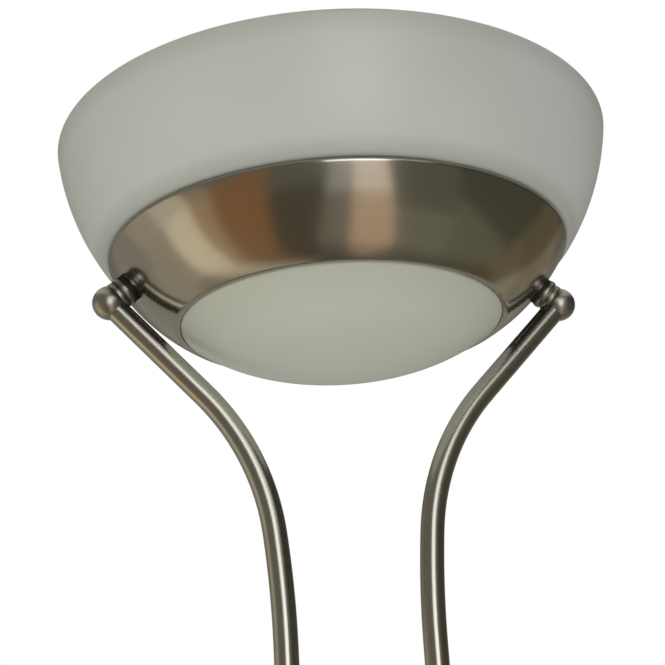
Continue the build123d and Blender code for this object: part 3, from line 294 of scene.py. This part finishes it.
BOWL_WALL = 4.0
BOWL_FOOT_REACH = 151.6
BOWL_FOOT_ROUNDING = 4.5
BOWL_FOOT_RADIUS, BOWL_RIM_RADIUS = 162.2, 193.0
BOWL_WALL_BOW = 5.0

ARM_RADIUS, ARM_BORE = 8.0, 7.0
ARM_CORNERS = ((48.5, 1182.0), (48.5, 1489.463), (58.325, 1582.940), (153.310, 1682.689))
ARM_ROUNDINGS = (690.0, 164.0)


def bow(start, end, sagitta):
    """Centre and radius of an arc that bows away from the axis between two points of a section."""
    start, end = Vector(start), Vector(end)
    chord = end - start
    radius = (chord.length_squared / 4 + sagitta ** 2) / (2 * sagitta)
    outward = Vector((chord.y, -chord.x)).normalized()
    return (start + end) / 2 - outward * (radius - sagitta), radius


def arc(centre, radius, start, end, count):
    """Points on a circle from one angle to another."""
    return [Vector((centre[0] + radius * cos(a), centre[1] + radius * sin(a)))
            for a in (start + (end - start) * i / count for i in range(count + 1))]


def angle_of(point, centre):
    """Angle at which a centre sees a point."""
    return atan2(point[1] - centre[1], point[0] - centre[0])


def rounded_corner(centre, radius, level, rounding, inside):
    """Centre of the rounding between an arc and a level line; inside is +1 where it lies above the line."""
    height = level + inside * rounding
    reach = ((radius - rounding) ** 2 - (height - centre[1]) ** 2) ** 0.5
    return Vector((centre[0] + reach, height))


def thick(midline, thickness, round_end=False):
    """Closed outline of a sheet round its middle line."""
    half = thickness / 2
    left, right = [], []
    last = len(midline) - 1
    for i, point in enumerate(midline):
        along = (midline[min(i + 1, last)] - midline[max(i - 1, 0)]).normalized()
        side = Vector((-along.y, along.x)) * half
        left.append(point + side)
        right.append(point - side)
    cap = []
    if round_end:
        along = (midline[-1] - midline[-2]).normalized()
        start = atan2(along.y, along.x) + pi / 2
        cap = arc(midline[-1], half, start, start - pi, 16)[1:-1]
    return left + cap + right[::-1]


def skinned(name, work, body, node, finish):
    """The finished object of a mesh that stands for one of the frame's nodes."""
    bmesh.ops.recalc_face_normals(work, faces=work.faces)
    mesh = bpy.data.meshes.new(name)
    work.to_mesh(mesh)
    work.free()
    mesh.polygons.foreach_set("use_smooth", [True] * len(mesh.polygons))
    mesh.set_sharp_from_angle(angle=radians(32))
    obj = bpy.data.objects.new(name, mesh)
    bpy.context.scene.collection.objects.link(obj)
    mesh.materials.append(MATERIALS[finish])
    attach(obj, body)
    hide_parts(node)


def bridge(work, rings):
    """Faces between each ring and the next one, and between the last and the first."""
    for low, high in zip(rings, rings[1:] + rings[:1]):
        for i in range(len(low)):
            j = (i + 1) % len(low)
            work.faces.new([low[i], low[j], high[j], high[i]])


def lathe(name, outline, body, node, finish, steps=288):
    """A closed section of (radius, height) in millimetres, turned about the lamp's axis."""
    work = bmesh.new()
    angles = [2 * pi * i / steps for i in range(steps)]
    rings = [[work.verts.new((radius * MM * cos(a), radius * MM * sin(a), height * MM)) for a in angles]
             for radius, height in outline]
    bridge(work, rings)
    skinned(name, work, body, node, finish)


def rounded_line(points, radii, steps=60):
    """Places and directions along a line of corners, each corner rounded by its radius."""
    line = [(points[0], (points[1] - points[0]).normalized())]
    for before, corner, after, radius in zip(points, points[1:], points[2:], radii):
        along, onward = (corner - before).normalized(), (after - corner).normalized()
        bend = along.angle(onward)
        side = (onward - along * cos(bend)).normalized()
        centre = corner - along * radius * tan(bend / 2) + side * radius
        for i in range(steps + 1):
            turn = bend * i / steps
            line.append((centre - side * radius * cos(turn) + along * radius * sin(turn),
                         along * cos(turn) + side * sin(turn)))
    return line + [(points[-1], line[-1][1])]


def bent_tube(name, line, sign, body, node, finish, steps=96):
    """An arm's tube round a line of (reach, height) in millimetres; sign -1 puts it on the left."""
    work = bmesh.new()
    rings = []
    for radius, places in ((ARM_RADIUS, line), (ARM_BORE, line[::-1])):
        for place, way in places:
            ring = []
            for angle in (2 * pi * i / steps for i in range(steps)):
                out = place + Vector((way.y, -way.x)) * radius * cos(angle)
                ring.append(work.verts.new((sign * out.x * MM, radius * sin(angle) * MM, out.y * MM)))
            rings.append(ring)
    bridge(work, rings)
    skinned(name, work, body, node, finish)


def pan_midline():
    """Middle of the pan's sheet: lip, rounding, bowed wall, bead and flange."""
    base, top = (PAN_FOOT_RADIUS, PAN_BOTTOM + PAN_SHEET / 2), (PAN_TOP_RADIUS, SEAT - PAN_SHEET / 2)
    centre, radius = bow(base, top, PAN_WALL_BOW)
    lip = rounded_corner(centre, radius, base[1], PAN_LIP_ROUNDING, 1)
    bead = rounded_corner(centre, radius, top[1], PAN_BEAD_ROUNDING, -1)
    low, high = angle_of(lip, centre), angle_of(bead, centre)
    return ([Vector((PAN_LIP_REACH, base[1]))] + arc(lip, PAN_LIP_ROUNDING, -pi / 2, low, 10)
            + arc(centre, radius, low, high, 40)[1:] + arc(bead, PAN_BEAD_ROUNDING, high, pi / 2, 14)[1:]
            + [Vector((PAN_FLANGE_REACH, top[1]))])


def bowl_midline():
    """Middle of the bowl's glass: foot, rounding and bowed wall."""
    half = BOWL_WALL / 2
    foot, rim = (BOWL_FOOT_RADIUS, SEAT + half), (BOWL_RIM_RADIUS, RIM_HEIGHT / MM - half)
    centre, radius = bow(foot, rim, BOWL_WALL_BOW)
    corner = rounded_corner(centre, radius, foot[1], BOWL_FOOT_ROUNDING, 1)
    low = angle_of(corner, centre)
    return ([Vector((BOWL_FOOT_REACH, foot[1]))] + arc(corner, BOWL_FOOT_ROUNDING, -pi / 2, low, 12)
            + arc(centre, radius, low, angle_of(rim, centre), 48)[1:])


lathe("pan_shell", thick(pan_midline(), PAN_SHEET), "stand", "head_pan", "spun_nickel")
arm_line = rounded_line([Vector(p) for p in ARM_CORNERS], ARM_ROUNDINGS)
bent_tube("right_arm_tube", arm_line, 1, "stand", "right_arm", "tube_nickel")
bent_tube("left_arm_tube", arm_line, -1, "stand", "left_arm", "tube_nickel")
lathe("bowl_glass", thick(bowl_midline(), BOWL_WALL, True), "bowl", "glass_bowl", "opal_glass")


# ---------------------------------------------------------------- stage
def stage_mesh(name, vertices, faces, material, only_mirrored=False):
    """A piece of the stage, which reflections alone see if it is only mirrored."""
    mesh = bpy.data.meshes.new(name)
    mesh.from_pydata(vertices, [], faces)
    mesh.materials.append(material)
    obj = bpy.data.objects.new(name, mesh)
    bpy.context.scene.collection.objects.link(obj)
    obj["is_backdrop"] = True
    if only_mirrored:
        obj.visible_camera = False
        obj.visible_diffuse = False
        obj.visible_transmission = False
        obj.visible_shadow = False


MIRRORED_TWICE = 0.2    # how bright a card is in a reflection of a reflection


def emitting(name, color):
    """A card as bright as written, whatever lights the lamp, and darker in a reflection of a reflection."""
    material = bpy.data.materials.new(name)
    material.use_nodes = True
    tree = material.node_tree
    tree.nodes.clear()
    shine = tree.nodes.new("ShaderNodeEmission")
    shine.inputs["Color"].default_value = (*color, 1.0)
    path = tree.nodes.new("ShaderNodeLightPath")
    strength = tree.nodes.new("ShaderNodeMapRange")
    for key, value in {"From Min": 1.0, "From Max": 2.0, "To Min": 1.0, "To Max": MIRRORED_TWICE}.items():
        strength.inputs[key].default_value = value
    tree.links.new(path.outputs["Ray Depth"], strength.inputs["Value"])
    tree.links.new(strength.outputs["Result"], shine.inputs["Strength"])
    out = tree.nodes.new("ShaderNodeOutputMaterial")
    tree.links.new(shine.outputs[0], out.inputs["Surface"])
    return material


def floor_paint():
    """Pale floor, bright enough to light the lamp from below, that fades out into the white far off."""
    finish = Finish("floor_paint", (0.25, 0.25, 0.245), 0.8, **{
        "Specular IOR Level": 0.0, "Emission Color": (1.0, 0.995, 0.97, 1.0), "Emission Strength": 0.68})
    finish.tint(finish.noise(finish.place, 2.0, 2.0), (0.245, 0.245, 0.24))
    distance = finish.add("ShaderNodeVectorMath", {0: finish.place}, operation="LENGTH").outputs["Value"]
    gone = finish.remap(distance, 0.0, 1.0, 1.5, 6.0)
    through = finish.add("ShaderNodeBsdfTransparent").outputs[0]
    mix = finish.add("ShaderNodeMixShader", {0: gone, 1: finish.shader.outputs[0], 2: through})
    finish.set(finish.tree.nodes["Material Output"], {"Surface": mix.outputs[0]})
    return finish.material


FLOOR_REACH = 9.0
stage_mesh("floor", [(FLOOR_REACH * x, FLOOR_REACH * y, 0) for x, y in ((-1, -1), (1, -1), (1, 1), (-1, 1))],
           [(0, 1, 2, 3)], floor_paint())

# Cards that only reflections see: a dim room round the lamp in upright bands, some warm.
# A band lies between the line on the floor that its own row gives and that of the row before. The line
# runs from the first point out to the second, where the wall stands. The share says where the near floor
# ends. Then come the colours of the near floor, which is darker under the lamp with painted shadow, of the
# far floor with the wall's lower part, and of the wall's upper part.
BANDS = (
    ((-1.25, 1.70), (-3.6, 2.6), 1.0, (0.34, 0.315, 0.25), (0.26, 0.245, 0.20), (0.20, 0.19, 0.15)),
    ((-1.50, 1.02), (-3.6, 1.12), 1.0, (0.34, 0.30, 0.225), (0.37, 0.34, 0.265), (0.20, 0.19, 0.145)),
    ((-1.08, 0.40), (-3.6, -0.20), 1.0, (0.76, 0.67, 0.495), (0.55, 0.49, 0.38), (0.18, 0.170, 0.130)),
    ((-1.00, 0.22), (-3.2, -1.00), 1.0, (0.39, 0.27, 0.165), (0.24, 0.21, 0.165), (0.18, 0.170, 0.130)),
    ((-0.62, -0.07), (-2.4, -2.9), 1.0, (0.25, 0.128, 0.053), (0.15, 0.137, 0.110), (0.16, 0.150, 0.115)),
    ((-0.27, -0.30), (-0.70, -4.0), 0.45, (0.072, 0.062, 0.041), (0.12, 0.115, 0.092), (0.15, 0.140, 0.105)),
    ((0.06, -0.40), (-0.05, -4.0), 0.33, (0.18, 0.165, 0.135), (0.35, 0.345, 0.32), (0.15, 0.140, 0.105)),
    ((0.55, -0.26), (0.96, -4.0), 0.33, (0.56, 0.405, 0.280), (0.80, 0.70, 0.60), (0.13, 0.120, 0.090)),
    ((1.10, 0.10), (3.6, -3.1), 0.25, (0.175, 0.168, 0.130), (0.11, 0.108, 0.083), (0.055, 0.052, 0.040)),
    ((2.00, 0.75), (4.4, 1.2), 0.4, (0.145, 0.139, 0.102), (0.070, 0.070, 0.050), (0.040, 0.038, 0.030)),
    ((2.50, 1.75), (4.2, 2.9), 1.0, (0.155, 0.130, 0.075), (0.125, 0.105, 0.062), (0.042, 0.040, 0.032)),
    ((1.20, 2.2), (3.3, 3.5), 1.0, (0.31, 0.28, 0.22), (0.22, 0.19, 0.13), (0.13, 0.12, 0.10)),
    ((-0.60, 2.2), (-3.0, 3.6), 1.0, (0.27, 0.255, 0.225), (0.27, 0.255, 0.22), (0.17, 0.16, 0.14)),
)
LOW_WALL, CEILING = 2.0, 5.2
ABOVE_FLOOR = 0.004
# Painted shadow: how much a band's near floor darkens under the lamp, in the reflections.
UNDER_SHARE, UNDER_GAIN = 0.52, 0.4     # how a band darkens under the lamp; a dim one darkens most
# Painted shadow round the lamp's foot: a dark card in the reflections.
FOOT_RADIUS, FOOT_ABOVE_FLOOR = 0.24, 0.006     # of the dark card round the lamp's foot


def card(name, color, points, *faces):
    """A glowing sheet in the reflections; without faces, its points are one face."""
    stage_mesh(name, points, faces or [tuple(range(len(points)))], emitting(name, color), True)


def on_floor(point):
    return Vector((*point, ABOVE_FLOOR))


for index, (inner, outer, share, near, far, high) in enumerate(BANDS):
    start, end = BANDS[index - 1][:2]
    parting = [on_floor(a).lerp(on_floor(b), share) for a, b in ((inner, outer), (start, end))]
    # Painted shadow on the floor under the lamp, seen only in reflections.
    under = [(UNDER_SHARE + UNDER_GAIN * near[0]) * c for c in near]
    card(f"under_{index}", under, [on_floor((0, 0)), on_floor(start), on_floor(inner)])
    card(f"near_{index}", near, [on_floor(inner), *parting, on_floor(start)])
    card(f"far_{index}", far, [*parting, (*end, 0), (*outer, 0), (*outer, LOW_WALL), (*end, LOW_WALL)],
         (0, 1, 2, 3), (3, 2, 5, 4))
    card(f"high_{index}", high, [(*end, LOW_WALL), (*outer, LOW_WALL), (*outer, CEILING), (*end, CEILING)])
# Painted shadow: a dark disc round the lamp's foot, seen only in reflections.
card("foot_shadow", (0.10, 0.093, 0.076), [
    (FOOT_RADIUS * cos(radians(a)), FOOT_RADIUS * sin(radians(a)), FOOT_ABOVE_FLOOR)
    for a in range(0, 360, 10)])
card("ceiling", (0.55, 0.54, 0.50), [(*band[1], CEILING) for band in BANDS])
card("sheen", (0.85, 0.83, 0.76), [
    (x, -2.2, z) for x, z in ((0.55, 2.15), (1.5, 2.15), (1.5, 2.85), (0.55, 2.85))])


def area_light(name, place, target, size, power, color, reflected=False):
    """A rectangular lamp of a power in watts, which reflections see only if it is reflected."""
    data = bpy.data.lights.new(name, "AREA")
    data.shape = "RECTANGLE"
    data.size, data.size_y = size
    data.energy = power
    data.color = color
    light = bpy.data.objects.new(name, data)
    bpy.context.scene.collection.objects.link(light)
    light.visible_glossy = reflected
    light.location = place
    light.rotation_mode = "QUATERNION"
    light.rotation_quaternion = (Vector(target) - Vector(place)).to_track_quat("-Z", "Y")


HEAD = (0.0, 0.0, 1.70)
WHITE = (1.0, 1.0, 1.0)
area_light("front", (0.05, -2.3, 1.62), (0.05, 0.0, 1.62), (1.2, 1.9), 10.2, (1.0, 0.995, 0.97), True)
area_light("fill", (-2.4, -1.2, 1.1), HEAD, (1.4, 1.4), 26.0, (1.0, 0.985, 0.86))
area_light("side", (1.8, -1.7, 1.1), HEAD, (1.3, 1.3), 14.0, WHITE)
area_light("back", (0.1, 1.9, 0.75), HEAD, (1.3, 1.3), 7.0, WHITE)
area_light("top", (0.0, 0.0, 3.6), HEAD, (2.2, 2.2), 1.2, WHITE)


def background(tree, color, strength):
    node = tree.nodes.new("ShaderNodeBackground")
    node.inputs["Color"].default_value = (*color, 1.0)
    node.inputs["Strength"].default_value = strength
    return node.outputs[0]


def either(tree, first, second):
    """1 where one of two yes-or-no values is 1."""
    node = tree.nodes.new("ShaderNodeMath")
    node.operation = "MAXIMUM"
    tree.links.new(first, node.inputs[0])
    tree.links.new(second, node.inputs[1])
    return node.outputs[0]


def paint_world(world):
    """White where the world is seen, also in metal and through glass, and dimmer where it lights the lamp."""
    world.use_nodes = True
    tree = world.node_tree
    tree.nodes.clear()
    path = tree.nodes.new("ShaderNodeLightPath").outputs
    seen = either(tree, path["Is Camera Ray"], path["Is Glossy Ray"])
    both = tree.nodes.new("ShaderNodeMixShader")
    tree.links.new(either(tree, seen, path["Is Transmission Ray"]), both.inputs["Fac"])
    tree.links.new(background(tree, (0.98, 0.99, 1.0), 0.37), both.inputs[1])
    tree.links.new(background(tree, WHITE, 1.0), both.inputs[2])
    out = tree.nodes.new("ShaderNodeOutputWorld")
    tree.links.new(both.outputs[0], out.inputs["Surface"])


scene = bpy.context.scene
scene.world = bpy.data.worlds.new("world")
paint_world(scene.world)

# ---------------------------------------------------------------- camera
camera_data = bpy.data.cameras.new("camera")
camera_data.lens = CAMERA_LENS
camera_data.sensor_width = CAMERA_SENSOR
camera_data.clip_start = 0.01
camera = bpy.data.objects.new("camera", camera_data)
scene.collection.objects.link(camera)
across = cos(CAMERA_PITCH)
ahead = Vector((sin(CAMERA_YAW) * across, cos(CAMERA_YAW) * across, sin(CAMERA_PITCH)))
level_right = Vector((cos(CAMERA_YAW), -sin(CAMERA_YAW), 0.0))
level_down = ahead.cross(level_right)
right = level_right * cos(CAMERA_ROLL) + level_down * sin(CAMERA_ROLL)
up = right.cross(ahead)
turn = Matrix((right, up, -ahead)).transposed()
camera.matrix_world = Matrix.Translation(CAMERA_PLACE) @ turn.to_4x4()
scene.camera = camera
scene.view_settings.view_transform = "Standard"

low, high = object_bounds()
